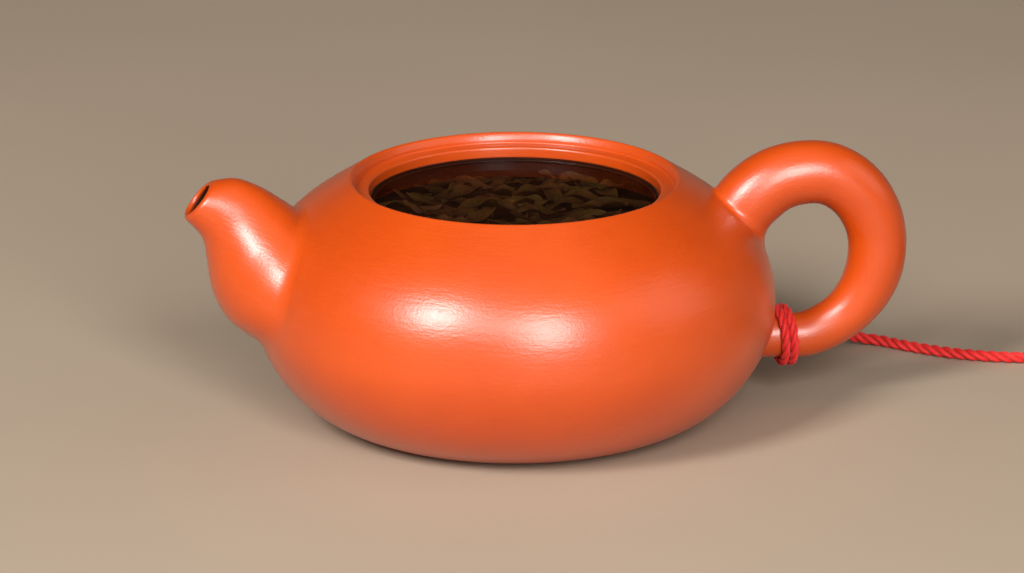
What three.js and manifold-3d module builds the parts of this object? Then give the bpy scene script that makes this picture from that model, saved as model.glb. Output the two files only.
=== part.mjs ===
// A yixing clay teapot with an inset lid, tied to its handle by a red cord.
// Millimetres, +Z up. The origin is the centre of the flat underside, the spout points to -X and
// the handle to +X. The lid stands beside the pot on the same surface, at the end of its tether.

import * as THREE from "three";
import { mergeVertices } from "three/addons/utils/BufferGeometryUtils.js";
import Module from "manifold-3d";

const wasm = await Module();
wasm.setup();

// ---- driving dimensions ---------------------------------------------------------------------

const GAP = 0.3; // between pieces that touch
const WALL = 2.6; // clay wall of the pot
const RADIAL_STEPS = 40; // facets round the pot and the lid

// The pot's outer curve, from foot to lip.
const FOOT_RADIUS = 26.7;
const BELLY_RADIUS = 46;
const BELLY_HEIGHT = 19.7;
const LIP_RADIUS = 28.9;
const LIP_HEIGHT = 43;
const BASE_RADIUS = 24;
const BASE_THICKNESS = 3;

// The mouth: a recess for the lid's plate, a ledge that carries it, and the opening.
const SEAT_RADIUS = 28;
const SEAT_HEIGHT = 41;
const MOUTH_RADIUS = 25.6;
const MOUTH_RING_BOTTOM = 38.3;
const MOUTH_RING_STEP = 1.2; // the ring's underside is this much narrower than its seam
const MOUTH_SEAM = 0.86; // where the ring joins the shell, along the curve from belly to lip
const MOUTH_SEAM_GAP = 0.02; // and the gap between them, along the same curve
const ARRIS = 0.4; // how far a worn clay edge is rounded off

// The hole behind the spout and the strainer that covers it.
const SPOUT_HOLE_RADIUS = 5.6;
const SPOUT_HOLE_HEIGHT = 26;
const STRAINER_RADIUS = 7.6;
const STRAINER_THICKNESS = 1.2;
const STRAINER_HOLE_RADIUS = 0.9;
const STRAINER_RING_RADIUS = 3.5;
const STRAINER_RING_HOLES = 6;

// The lid, measured up from its flange's lower edge.
const LID_CENTRE = new THREE.Vector3(146, 4, 0);
const PLATE_PLAY = 0.5; // between the lid's plate and the recess, all round
const FLANGE_PLAY = 0.5; // between its flange and the mouth
const LID_RADIUS = SEAT_RADIUS - PLATE_PLAY;
const FLANGE_RADIUS = MOUTH_RADIUS - FLANGE_PLAY;
const FLANGE_WALL = 2.2;
const FLANGE_HEIGHT = 6.5;
const LID_EDGE = 2.2; // thickness of the plate at its edge, and at its middle
const LID_CROWN = 5.2;
const VENT_RADIUS = 1.1;
const KNOB_NECK_RADIUS = 3.3;
const KNOB_RADIUS = 7.2;
const KNOB_HEIGHT = 11;

// The cord. It is wound twice round the handle's lower arm and looped once round the knob.
const CORD_RADIUS = 1;
const CORD_SIDES = 8;
const BINDING_CENTRE = new THREE.Vector3(48, 0, 12.1);
const BINDING_WIDTH = 3.2;
const ARM_RADIUS = 4.02; // of the handle's lower arm where it is bound
const KNOT_RADIUS = 2.3;

// ---- materials ------------------------------------------------------------------------------

const clay = () => new THREE.MeshStandardMaterial({ color: 0xe85a22, roughness: 0.42, metalness: 0 });
const rawClay = () => new THREE.MeshStandardMaterial({ color: 0xb84a20, roughness: 0.7, metalness: 0 });
const redCord = () => new THREE.MeshStandardMaterial({ color: 0xc8101c, roughness: 0.6, metalness: 0 });

// ---- solids ---------------------------------------------------------------------------------

function toSolid(geometry) {
  const bare = geometry.clone();
  bare.deleteAttribute("normal");
  bare.deleteAttribute("uv");
  const merged = mergeVertices(bare, 1e-4);
  return new wasm.Manifold(
    new wasm.Mesh({
      numProp: 3,
      vertProperties: new Float32Array(merged.attributes.position.array),
      triVerts: new Uint32Array(merged.index.array),
    }),
  );
}

function toGeometry(solid) {
  const mesh = solid.getMesh();
  const geometry = new THREE.BufferGeometry();
  geometry.setAttribute("position", new THREE.BufferAttribute(mesh.vertProperties, 3));
  geometry.setIndex(new THREE.BufferAttribute(mesh.triVerts, 1));
  geometry.computeVertexNormals();
  return geometry;
}

// Turns a profile of (radius, height) points about Z. A ring's profile runs up its outside and
// down its inside, and is closed here.
function turn(points, steps = RADIAL_STEPS) {
  const onAxis = points[0].x === 0 && points[points.length - 1].x === 0;
  const profile = onAxis ? points : [...points, points[0]];
  return new THREE.LatheGeometry(profile, steps).rotateX(Math.PI / 2);
}

function cylinderAlongX(radius, height, z, y = 0, steps = 24) {
  const geometry = new THREE.CylinderGeometry(radius, radius, height, steps);
  return geometry.rotateZ(Math.PI / 2).translate(-BELLY_RADIUS, y, z);
}

// Lays a closed cylinder along a path: ringAt(t) gives each cross-section as its centre and its
// two half-axes, and "across" turned into "along" the path is right-handed with "side".
function sweep(ringAt, sides, steps) {
  const geometry = new THREE.CylinderGeometry(1, 1, 1, sides, steps);
  const place = geometry.attributes.position;
  const point = new THREE.Vector3();
  for (let i = 0; i < place.count; i++) {
    const ring = ringAt(place.getY(i) + 0.5);
    point.copy(ring.centre);
    point.addScaledVector(ring.across, place.getX(i));
    point.addScaledVector(ring.side, place.getZ(i));
    place.setXYZ(i, point.x, point.y, point.z);
  }
  return geometry;
}

const point2 = (x, y) => new THREE.Vector2(x, y);
const inPlane = ([x, z]) => new THREE.Vector3(x, 0, z);

// A value that runs smoothly through evenly spaced keys.
function ramp(keys) {
  const curve = new THREE.CatmullRomCurve3(keys.map((value) => new THREE.Vector3(value, 0, 0)));
  return (t) => curve.getPoint(t).x;
}

// ---- the pot's outline ----------------------------------------------------------------------

const LOWER_CURVE = new THREE.CubicBezierCurve(
  point2(FOOT_RADIUS, 0),
  point2(FOOT_RADIUS + 11.2, 0),
  point2(BELLY_RADIUS, BELLY_HEIGHT - 7.7),
  point2(BELLY_RADIUS, BELLY_HEIGHT),
);
const UPPER_CURVE = new THREE.CubicBezierCurve(
  point2(BELLY_RADIUS, BELLY_HEIGHT),
  point2(BELLY_RADIUS, BELLY_HEIGHT + 13.8),
  point2(LIP_RADIUS + 8.3, LIP_HEIGHT - 5.2),
  point2(LIP_RADIUS, LIP_HEIGHT),
);

// Points along a stretch of a curve, moved out from it by a distance (inwards if negative).
function along(curve, from, to, count, distance = 0) {
  const points = [];
  for (let i = 0; i <= count; i++) {
    const t = from + ((to - from) * i) / count;
    const tangent = curve.getTangent(t);
    const point = curve.getPoint(t);
    points.push(point2(point.x + tangent.y * distance, point.y - tangent.x * distance));
  }
  return points;
}

// The whole pot as one closed body, larger than its surface by a distance, for cutting.
function potEnvelope(distance) {
  const lower = along(LOWER_CURVE, 0, 1, 10, distance);
  const upper = along(UPPER_CURVE, 0, 1, 10, distance);
  const top = upper[upper.length - 1].y;
  return toSolid(turn([point2(0, lower[0].y), ...lower, ...upper.slice(1), point2(0, top)]));
}

// ---- clay pieces of the pot -----------------------------------------------------------------

function baseDisc() {
  return turn([
    point2(0, 0),
    point2(BASE_RADIUS - ARRIS, 0),
    point2(BASE_RADIUS, ARRIS),
    point2(BASE_RADIUS, BASE_THICKNESS),
    point2(0, BASE_THICKNESS),
  ]);
}

function bodyShell() {
  const foot = BASE_RADIUS + GAP;
  const insideFoot = 0.12; // along the lower curve, where the wall turns down to the base
  const outside = [...along(LOWER_CURVE, 0, 1, 7), ...along(UPPER_CURVE, 0, MOUTH_SEAM, 7).slice(1)];
  const inside = [
    ...along(UPPER_CURVE, MOUTH_SEAM, 0, 6, -WALL),
    ...along(LOWER_CURVE, 1, insideFoot, 6, -WALL).slice(1),
  ];
  const shell = toSolid(turn([point2(foot, 0), ...outside, ...inside, point2(foot, WALL)]));
  const hole = toSolid(cylinderAlongX(SPOUT_HOLE_RADIUS, BELLY_RADIUS / 2, SPOUT_HOLE_HEIGHT));
  return toGeometry(shell.subtract(hole));
}

function mouthRing() {
  const outside = along(UPPER_CURVE, MOUTH_SEAM + MOUTH_SEAM_GAP, 1, 3);
  return turn([
    ...outside,
    point2(LIP_RADIUS - ARRIS, LIP_HEIGHT + 0.15),
    point2(SEAT_RADIUS + ARRIS, LIP_HEIGHT),
    point2(SEAT_RADIUS, LIP_HEIGHT - ARRIS),
    point2(SEAT_RADIUS, SEAT_HEIGHT),
    point2(MOUTH_RADIUS + ARRIS, SEAT_HEIGHT),
    point2(MOUTH_RADIUS, SEAT_HEIGHT - ARRIS),
    point2(MOUTH_RADIUS, MOUTH_RING_BOTTOM),
    point2(outside[0].x - MOUTH_RING_STEP, MOUTH_RING_BOTTOM),
  ]);
}

function spoutStrainer() {
  const front = -WALL - GAP;
  const back = front - STRAINER_THICKNESS;
  const [low, high] = [0.5, 0.6]; // a band of the wall that takes in the whole disc
  const outer = [...along(LOWER_CURVE, low, 1, 5, front), ...along(UPPER_CURVE, 0, high, 6, front).slice(1)];
  const inner = [...along(UPPER_CURVE, high, 0, 6, back), ...along(LOWER_CURVE, 1, low, 5, back).slice(1)];
  const skin = toSolid(turn([...outer, ...inner]));
  const disc = toSolid(cylinderAlongX(STRAINER_RADIUS, BELLY_RADIUS, SPOUT_HOLE_HEIGHT));
  let patch = skin.intersect(disc);
  for (let i = 0; i <= STRAINER_RING_HOLES; i++) {
    const reach = i === 0 ? 0 : STRAINER_RING_RADIUS;
    const angle = (i * 2 * Math.PI) / STRAINER_RING_HOLES;
    const y = reach * Math.cos(angle);
    const z = SPOUT_HOLE_HEIGHT + reach * Math.sin(angle);
    patch = patch.subtract(toSolid(cylinderAlongX(STRAINER_HOLE_RADIUS, BELLY_RADIUS, z, y, 8)));
  }
  return toGeometry(patch);
}

// The spout is drawn by its outlines seen from the side, from its root to its tip.
const SPOUT_UNDERSIDE = new THREE.CatmullRomCurve3(
  [
    [-41.5, 12.9],
    [-46.6, 16],
    [-51, 19.5],
    [-53.5, 24.6],
    [-54.3, 30],
    [-55.1, 34],
    [-58.3, 37.8],
  ].map(inPlane),
);
const SPOUT_TOP = new THREE.CatmullRomCurve3(
  [
    [-33.8, 34.8],
    [-36.5, 36.7],
    [-38.9, 38.5],
    [-41.4, 40.4],
    [-44.9, 42.7],
    [-49, 44.3],
    [-53.2, 44],
  ].map(inPlane),
);
const SPOUT_HALF_WIDTH = ramp([18.4, 14.6, 11.1, 8.6, 6.7, 5.3, 3.9]);
const SPOUT_WALL = ramp([2.6, 2.4, 2.2, 2, 1.7, 1.4, 1.2]);

function spoutRing(t, inset) {
  const low = SPOUT_UNDERSIDE.getPoint(t);
  const high = SPOUT_TOP.getPoint(t);
  const centre = low.clone().add(high).multiplyScalar(0.5);
  const across = high.clone().sub(centre);
  across.setLength(across.length() - inset);
  return { centre, across, side: new THREE.Vector3(0, inset - SPOUT_HALF_WIDTH(t), 0) };
}

// The bore runs on a little past the lip, so that it opens the tip.
function boreRing(t) {
  const overrun = 0.5;
  const ring = spoutRing(t, SPOUT_WALL(t));
  if (t === 1) {
    const outwards = new THREE.Vector3(-ring.across.z, 0, ring.across.x);
    ring.centre.add(outwards.setLength(overrun));
  }
  return ring;
}

function spout() {
  const outer = toSolid(sweep((t) => spoutRing(t, 0), 24, 12));
  const bore = toSolid(sweep(boreRing, 16, 12));
  return toGeometry(outer.subtract(bore).subtract(potEnvelope(GAP)));
}

// The handle's centreline, from its upper root to its lower one, and its radius along it.
const HANDLE_PATH = new THREE.CatmullRomCurve3(
  [
    [36.8, 30.6],
    [42, 37.7],
    [47.6, 41.3],
    [55.3, 41.7],
    [61, 38.1],
    [64.5, 31.1],
    [64, 22.9],
    [59.7, 16.1],
    [52.6, 12.2],
    [46, 12.1],
    [40, 12.2],
  ].map(inPlane),
);
const HANDLE_RADIUS = ramp([5.7, 5.9, 5.7, 5.55, 5.45, 5.25, 5, 4.35, 4.05, 3.95, 3.95]);

function handleRing(t) {
  const along3 = HANDLE_PATH.getTangent(t);
  const side = new THREE.Vector3(0, HANDLE_RADIUS(t), 0);
  return { centre: HANDLE_PATH.getPoint(t), across: along3.cross(side), side };
}

function handle() {
  return toGeometry(toSolid(sweep(handleRing, 16, 40)).subtract(potEnvelope(GAP)));
}

// ---- clay pieces of the lid, standing on its flange at the origin ---------------------------

const PLATE_BOTTOM = FLANGE_HEIGHT + GAP;
const KNOB_BOTTOM = PLATE_BOTTOM + LID_CROWN + GAP;

function lidFlange() {
  return turn([
    point2(FLANGE_RADIUS - ARRIS, 0),
    point2(FLANGE_RADIUS, ARRIS),
    point2(FLANGE_RADIUS, FLANGE_HEIGHT),
    point2(FLANGE_RADIUS - FLANGE_WALL, FLANGE_HEIGHT),
    point2(FLANGE_RADIUS - FLANGE_WALL + ARRIS, 0),
  ]);
}

function lidPlate() {
  const crown = new THREE.CubicBezierCurve(
    point2(LID_RADIUS - ARRIS, LID_EDGE),
    point2(LID_RADIUS * 0.7, LID_EDGE + 2.2),
    point2(LID_RADIUS / 2, LID_CROWN),
    point2(VENT_RADIUS, LID_CROWN),
  );
  return turn([
    point2(VENT_RADIUS, 0),
    point2(LID_RADIUS - ARRIS, 0),
    point2(LID_RADIUS, ARRIS),
    point2(LID_RADIUS, LID_EDGE - ARRIS),
    ...crown.getPoints(5),
  ]).translate(0, 0, PLATE_BOTTOM);
}

// A ball on a short neck, pierced by the vent.
function lidKnob() {
  const ball = new THREE.SplineCurve([
    point2(KNOB_NECK_RADIUS, 1),
    point2(KNOB_NECK_RADIUS, 3.2),
    point2(KNOB_RADIUS - 1.4, 4.6),
    point2(KNOB_RADIUS, 7),
    point2(KNOB_RADIUS - 1.6, 9.6),
    point2(KNOB_RADIUS - 4.6, KNOB_HEIGHT - 0.1),
  ]);
  const foot = [point2(VENT_RADIUS, 0), point2(KNOB_NECK_RADIUS + 0.8, 0)];
  const top = point2(VENT_RADIUS, KNOB_HEIGHT);
  return turn([...foot, ...ball.getPoints(10), top], 24).translate(0, 0, KNOB_BOTTOM);
}

// ---- the cord -------------------------------------------------------------------------------

// A ring of round section that lies round +Z.
function cordRing(innerRadius, width, sections = 8) {
  const thickness = 2 * CORD_RADIUS;
  const middle = innerRadius + thickness / 2;
  const points = [];
  for (let i = 0; i < sections; i++) {
    const angle = (i * 2 * Math.PI) / sections;
    points.push(point2(middle + (Math.cos(angle) * thickness) / 2, (Math.sin(angle) * width) / 2));
  }
  return turn(points, 24);
}

function knot(centre) {
  return new THREE.SphereGeometry(KNOT_RADIUS, 12, 8).translate(centre.x, centre.y, centre.z);
}

// Each knot lies against its ring: the handle's on the far side, the knob's towards the pot.
const BINDING_INNER_RADIUS = ARM_RADIUS + GAP;
const HANDLE_KNOT_REACH = BINDING_INNER_RADIUS + 2 * CORD_RADIUS + GAP + KNOT_RADIUS;
const HANDLE_KNOT_CENTRE = BINDING_CENTRE.clone().add(new THREE.Vector3(0, HANDLE_KNOT_REACH, -0.8));
const LOOP_INNER_RADIUS = KNOB_NECK_RADIUS + GAP;
const LOOP_HEIGHT = KNOB_BOTTOM + 1.9;
const KNOB_KNOT_BEARING = THREE.MathUtils.degToRad(160);
const KNOB_KNOT_REACH = LOOP_INNER_RADIUS + 2 * CORD_RADIUS + GAP + KNOT_RADIUS;
const KNOB_KNOT_CENTRE = new THREE.Vector3(
  KNOB_KNOT_REACH * Math.cos(KNOB_KNOT_BEARING),
  KNOB_KNOT_REACH * Math.sin(KNOB_KNOT_BEARING),
  LOOP_HEIGHT + 0.6,
);

// The tether from the handle's knot down to the table, and along it to the lid's edge.
const TETHER_ON_TABLE = [
  [49.3, 11.4, 10.9],
  [51.2, 14.8, 10.1],
  [54, 19.2, 8.6],
  [57.6, 23.6, 6.4],
  [62, 27.3, 3.7],
  [66.5, 28.9, 1.6],
  [71.2, 27.6, 1.05],
  [75.2, 24.2, 1.05],
  [82.2, 19.2, 1.05],
  [88.5, 16.4, 1.05],
  [95.1, 14.8, 1.05],
  [102, 15.1, 1.05],
  [109, 16.9, 1.05],
];
// The rest of it, over the lid's edge to the knot at the knob.
const TETHER_ON_LID = [
  [109.3, 17, 1.05],
  [113.4, 17.4, 1.5],
  [116.2, 17, 3.8],
  [118.4, 16.3, 7.2],
  [120.8, 15.3, 10.6],
  [124.8, 13.5, 11.9],
  [129.6, 11.3, 12.5],
  [133.2, 9.5, 13.4],
  [135.9, 7.9, 14.4],
];

function tetherStretch(points, steps) {
  const section = new THREE.Shape();
  for (let i = 0; i < CORD_SIDES; i++) {
    const angle = ((i + 0.5) * 2 * Math.PI) / CORD_SIDES;
    const x = CORD_RADIUS * Math.cos(angle);
    const y = CORD_RADIUS * Math.sin(angle);
    if (i === 0) section.moveTo(x, y);
    else section.lineTo(x, y);
  }
  section.closePath();
  const path = new THREE.CatmullRomCurve3(points.map(([x, y, z]) => new THREE.Vector3(x, y, z)));
  return new THREE.ExtrudeGeometry(section, { extrudePath: path, steps, bevelEnabled: false });
}

// ---- the assembly ---------------------------------------------------------------------------

function piece(name, geometry, material) {
  const mesh = new THREE.Mesh(geometry, material);
  mesh.name = name;
  return mesh;
}

const pot = new THREE.Group();
pot.add(piece("base_disc", baseDisc(), clay()));
pot.add(piece("body_shell", bodyShell(), clay()));
pot.add(piece("mouth_ring", mouthRing(), clay()));
pot.add(piece("spout_strainer", spoutStrainer(), rawClay()));
pot.add(piece("spout", spout(), clay()));
pot.add(piece("handle", handle(), clay()));

const binding = piece("handle_binding", cordRing(BINDING_INNER_RADIUS, BINDING_WIDTH), redCord());
binding.position.copy(BINDING_CENTRE);
binding.rotation.y = Math.PI / 2;
pot.add(binding);
pot.add(piece("handle_knot", knot(HANDLE_KNOT_CENTRE), redCord()));
pot.add(piece("tether_on_table", tetherStretch(TETHER_ON_TABLE, 30), redCord()));

const lid = new THREE.Group();
lid.position.copy(LID_CENTRE);
lid.add(piece("lid_flange", lidFlange(), clay()));
lid.add(piece("lid_plate", lidPlate(), clay()));
lid.add(piece("lid_knob", lidKnob(), clay()));
const loop = piece("knob_loop", cordRing(LOOP_INNER_RADIUS, 2 * CORD_RADIUS), redCord());
loop.position.z = LOOP_HEIGHT;
lid.add(loop);
lid.add(piece("knob_knot", knot(KNOB_KNOT_CENTRE), redCord()));

const group = new THREE.Group();
group.add(pot, lid);
group.add(piece("tether_on_lid", tetherStretch(TETHER_ON_LID, 14), redCord()));

export default group;
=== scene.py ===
"""A yixing clay teapot, its lid beside it at the end of a red cord.

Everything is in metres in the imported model's frame: +Z up, the spout to -X, the handle to +X.
"""

import math

import bpy
import numpy as np
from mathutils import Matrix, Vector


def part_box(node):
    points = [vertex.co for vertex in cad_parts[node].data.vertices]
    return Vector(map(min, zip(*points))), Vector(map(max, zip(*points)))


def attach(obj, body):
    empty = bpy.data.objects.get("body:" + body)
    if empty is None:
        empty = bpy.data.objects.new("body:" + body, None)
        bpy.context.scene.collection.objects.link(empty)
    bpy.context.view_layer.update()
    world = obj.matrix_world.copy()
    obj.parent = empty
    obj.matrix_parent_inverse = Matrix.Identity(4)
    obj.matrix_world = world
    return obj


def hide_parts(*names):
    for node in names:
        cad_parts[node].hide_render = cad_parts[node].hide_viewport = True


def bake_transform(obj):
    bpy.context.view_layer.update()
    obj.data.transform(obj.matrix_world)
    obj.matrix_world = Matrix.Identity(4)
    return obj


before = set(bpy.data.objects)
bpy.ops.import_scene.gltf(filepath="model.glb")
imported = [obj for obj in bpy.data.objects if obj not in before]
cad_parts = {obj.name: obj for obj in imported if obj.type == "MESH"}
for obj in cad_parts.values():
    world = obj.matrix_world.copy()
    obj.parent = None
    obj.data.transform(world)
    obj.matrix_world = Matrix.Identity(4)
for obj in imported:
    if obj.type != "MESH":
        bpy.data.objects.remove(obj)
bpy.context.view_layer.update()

# ---- driving dimensions ---------------------------------------------------------------------

# The camera, at the photographed viewing angle.
CAMERA_PLACE = (-0.1194, -0.9684, 0.3299)
CAMERA_TILT = math.radians(72.53)
CAMERA_TURN = math.radians(-7)
CAMERA_LENS = 203.9  # mm, on a 36 mm sensor

# The pot's outer curve, from foot to lip, as two cubic curves of (radius, height).
LOWER_CURVE = ((0.0267, 0), (0.0379, 0), (0.046, 0.012), (0.046, 0.0197))
UPPER_CURVE = ((0.046, 0.0197), (0.046, 0.0335), (0.0372, 0.0378), (0.0289, 0.043))
WALL = 0.0026
BASE_RADIUS = 0.024
BASE_THICKNESS = 0.003
SEAT_RADIUS = 0.028
SEAT_HEIGHT = 0.041
MOUTH_RADIUS = 0.0256
MOUTH_RING_BOTTOM = 0.0383
MOUTH_SEAM = 0.86  # how far up the upper curve the mouth's own piece begins
SPOUT_HOLE_RADIUS = 0.0056
SPOUT_HOLE_HEIGHT = 0.026
SPOUT_HOLE_SPAN = (-0.052, -0.036)  # the stretch of X that the hole is cut through
TEA_HEIGHT = 0.0387

# The lid, measured up from its flange's lower edge.
LID_RADIUS = 0.0275
FLANGE_RADIUS = 0.0251
FLANGE_WALL = 0.0022
FLANGE_HEIGHT = 0.0065
LID_EDGE = 0.0022
LID_CROWN = 0.0052
VENT_RADIUS = 0.0011
KNOB_NECK_RADIUS = 0.0033
KNOB_RADIUS = 0.0072
KNOB_HEIGHT = 0.011

CORD_DIAMETER = 0.002

# The tether's route, which repeats the CAD's, from the knot on the handle to the knot at the knob.
TETHER_ROUTE = [
    (0.0493, 0.0114, 0.0109),
    (0.0512, 0.0148, 0.0101),
    (0.0540, 0.0192, 0.0086),
    (0.0576, 0.0236, 0.0064),
    (0.0620, 0.0273, 0.0037),
    (0.0665, 0.0289, 0.0016),
    (0.0712, 0.0276, 0.00105),
    (0.0752, 0.0242, 0.00105),
    (0.0822, 0.0192, 0.00105),
    (0.0885, 0.0164, 0.00105),
    (0.0951, 0.0148, 0.00105),
    (0.1020, 0.0151, 0.00105),
    (0.1090, 0.0169, 0.00105),
    (0.1134, 0.0174, 0.0015),
    (0.1162, 0.0170, 0.0038),
    (0.1184, 0.0163, 0.0072),
    (0.1208, 0.0153, 0.0106),
    (0.1248, 0.0135, 0.0119),
    (0.1296, 0.0113, 0.0125),
    (0.1332, 0.0095, 0.0134),
    (0.1359, 0.0079, 0.0144),
]


# ---- small tools ----------------------------------------------------------------------------

def unit(v):
    """Each row of v, one long."""
    return v / np.maximum(np.linalg.norm(v, axis=-1, keepdims=True), 1e-12)


def cubic(points, t):
    """Points of a cubic Bezier curve at each t."""
    a, b, c, d = (np.array(p, float) for p in points)
    t = np.asarray(t, float)[..., None]
    s = 1 - t
    return s**3 * a + 3 * s * s * t * b + 3 * s * t * t * c + t**3 * d


def through(points, count):
    """count points evenly spaced on a smooth curve through the given ones (centripetal Catmull-Rom)."""
    p = np.array(points, float)
    p = np.vstack([2 * p[0] - p[1], p, 2 * p[-1] - p[-2]])
    pieces = []
    for i in range(1, len(p) - 2):
        knots = [0.0]
        for k in range(3):
            knots.append(knots[-1] + math.sqrt(np.linalg.norm(p[i + k] - p[i + k - 1])))
        k0, k1, k2, k3 = knots
        t = np.linspace(k1, k2, 25)[:-1, None]
        a1 = ((k1 - t) * p[i - 1] + (t - k0) * p[i]) / (k1 - k0)
        a2 = ((k2 - t) * p[i] + (t - k1) * p[i + 1]) / (k2 - k1)
        a3 = ((k3 - t) * p[i + 1] + (t - k2) * p[i + 2]) / (k3 - k2)
        b1 = ((k2 - t) * a1 + (t - k0) * a2) / (k2 - k0)
        b2 = ((k3 - t) * a2 + (t - k1) * a3) / (k3 - k1)
        pieces.append(((k2 - t) * b1 + (t - k1) * b2) / (k2 - k1))
    line = np.vstack([*pieces, p[-2:-1]])
    return evenly(line, count)


def lengths_along(line):
    """The distance along a line of points to each of them."""
    return np.concatenate([[0], np.cumsum(np.linalg.norm(np.diff(line, axis=0), axis=1))])


def evenly(line, count):
    """The same line as count evenly spaced points."""
    s = lengths_along(line)
    at = np.linspace(0, s[-1], count)
    return np.stack([np.interp(at, s, line[:, k]) for k in range(line.shape[1])], axis=1)


def new_object(name, vertices, faces, body, material, replaces=(), grain=None, stain_and_shade=None, sharp=35):
    """A shaded mesh that rides on a body and stands for CAD nodes. Stain darkens it where it is 1: tea stain
    and painted shade.
    """
    mesh = bpy.data.meshes.new(name)
    mesh.from_pydata([tuple(v) for v in vertices], [], faces)
    mesh.validate()
    mesh.polygons.foreach_set("use_smooth", [True] * len(mesh.polygons))
    mesh.update()
    mesh.set_sharp_from_angle(angle=math.radians(sharp))
    if grain is not None:
        attribute = mesh.attributes.new("grain", "FLOAT_VECTOR", "POINT")
        attribute.data.foreach_set("vector", np.asarray(grain, np.float32).ravel())
    if stain_and_shade is not None:
        attribute = mesh.attributes.new("stain_and_shade", "FLOAT", "POINT")
        attribute.data.foreach_set("value", np.asarray(stain_and_shade, np.float32))
    thing = bpy.data.objects.new(name, mesh)
    bpy.context.collection.objects.link(thing)
    mesh.materials.append(material)
    if replaces:
        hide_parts(*replaces)
    if body:
        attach(thing, body)
    return thing


def skin(rings, closed=False, caps=False):
    """Vertices and faces of a surface through rings of points, an array (rings, points, 3)."""
    n, m, _ = rings.shape
    vertices = list(rings.reshape(-1, 3))
    faces = []
    for i in range(n if closed else n - 1):
        k = (i + 1) % n
        for j in range(m):
            beside = (j + 1) % m
            faces.append((i * m + j, i * m + beside, k * m + beside, k * m + j))
    if caps:
        for i, order in ((0, -1), (n - 1, 1)):
            vertices.append(rings[i].mean(axis=0))
            tip = len(vertices) - 1
            for j in range(m):
                pair = (i * m + j, i * m + (j + 1) % m)[::order]
                faces.append((*pair, tip))
    return vertices, faces


def camera():
    data = bpy.data.cameras.new("camera")
    data.sensor_width = 36
    data.lens = CAMERA_LENS
    eye = bpy.data.objects.new("camera", data)
    eye.location = CAMERA_PLACE
    eye.rotation_euler = (CAMERA_TILT, 0, CAMERA_TURN)
    bpy.context.collection.objects.link(eye)
    bpy.context.scene.camera = eye


camera()


# ---- materials ------------------------------------------------------------------------------

def add(tree, kind, settings=None, **inputs):
    """A new shader node, with its settings and the values of its inputs (spaces as underscores)."""
    node = tree.nodes.new(kind)
    for key, value in (settings or {}).items():
        setattr(node, key, value)
    for key, value in inputs.items():
        node.inputs[key.replace("_", " ")].default_value = value
    return node


def noise(tree, vector, scale, detail=3, roughness=0.5):
    node = add(tree, "ShaderNodeTexNoise", Scale=scale, Detail=detail, Roughness=roughness)
    tree.links.new(vector, node.inputs["Vector"])
    return node.outputs["Fac"]


def spread(tree, value, low, high, to_low=0.0, to_high=1.0):
    """value, with low to high stretched to to_low to to_high."""
    node = add(tree, "ShaderNodeMapRange")
    tree.links.new(value, node.inputs["Value"])
    for key, number in (("From Min", low), ("From Max", high), ("To Min", to_low), ("To Max", to_high)):
        node.inputs[key].default_value = number
    return node.outputs["Result"]


def mixed(tree, factor, first, second):
    """Two colours, each a value or another node's output, mixed by a factor."""
    node = add(tree, "ShaderNodeMix", {"data_type": "RGBA", "blend_type": "MIX"})
    for key, value in ((0, factor), (6, first), (7, second)):
        if isinstance(value, bpy.types.NodeSocket):
            tree.links.new(value, node.inputs[key])
        elif key == 0:
            node.inputs[key].default_value = value
        else:
            node.inputs[key].default_value = (*value, 1)
    return node.outputs[2]


def bumped(tree, height, distance, under=None):
    """A bump of a height field, distance deep, over another bump's normal."""
    node = add(tree, "ShaderNodeBump", Strength=1.0, Distance=distance)
    tree.links.new(height, node.inputs["Height"])
    if under is not None:
        tree.links.new(under, node.inputs["Normal"])
    return node.outputs["Normal"]


def principled(name, **inputs):
    """A new material, its node tree and its shader, with the values of the shader's inputs."""
    made = bpy.data.materials.new(name)
    made.use_nodes = True
    shader = made.node_tree.nodes["Principled BSDF"]
    for key, value in inputs.items():
        shader.inputs[key.replace("_", " ")].default_value = value
    return made, made.node_tree, shader


def clay_material(name, light, dark, smooth, rough, **inputs):
    """Fired clay, burnished in fine strokes along the mesh's own grain, stained where tea lies, and given
    painted shade in the spout's bore.
    """
    made, tree, shader = principled(name, **inputs)
    place = add(tree, "ShaderNodeTexCoord").outputs["Object"]
    grain = add(tree, "ShaderNodeAttribute", {"attribute_name": "grain"}).outputs["Vector"]
    stain_and_shade = add(tree, "ShaderNodeAttribute", {"attribute_name": "stain_and_shade"}).outputs["Fac"]
    strokes = noise(tree, grain, 1.0, 3, 0.55)
    grit = noise(tree, place, 1900, 2, 0.6)
    clouds = noise(tree, place, 38, 4, 0.55)
    base = mixed(tree, spread(tree, clouds, 0.3, 0.7), dark, light)
    toned = mixed(tree, spread(tree, strokes, 0.35, 0.75, 0, 0.3), base, light)
    gritty = mixed(tree, spread(tree, grit, 0.5, 0.75, 0, 0.22), toned, dark)
    # Where stain is 1 the clay takes the dark tea colour: a tea stain inside the pot, and painted shade in
    # the spout's deep bore.
    colour = mixed(tree, stain_and_shade, gritty, TEA_STAIN_AND_SHADE)
    tree.links.new(colour, shader.inputs["Base Color"])
    worn = mixed(tree, 0.5, clouds, strokes)
    tree.links.new(spread(tree, worn, 0.35, 0.65, smooth, rough), shader.inputs["Roughness"])
    hatching = noise(tree, grain, 2.4, 2, 0.6)
    fine = bumped(tree, hatching, HATCHING_DEPTH, bumped(tree, grit, GRIT_DEPTH))
    worked = bumped(tree, strokes, STROKE_DEPTH, fine)
    tree.links.new(worked, shader.inputs["Normal"])
    tree.links.new(worked, shader.inputs["Coat Normal"])
    return made


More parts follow.
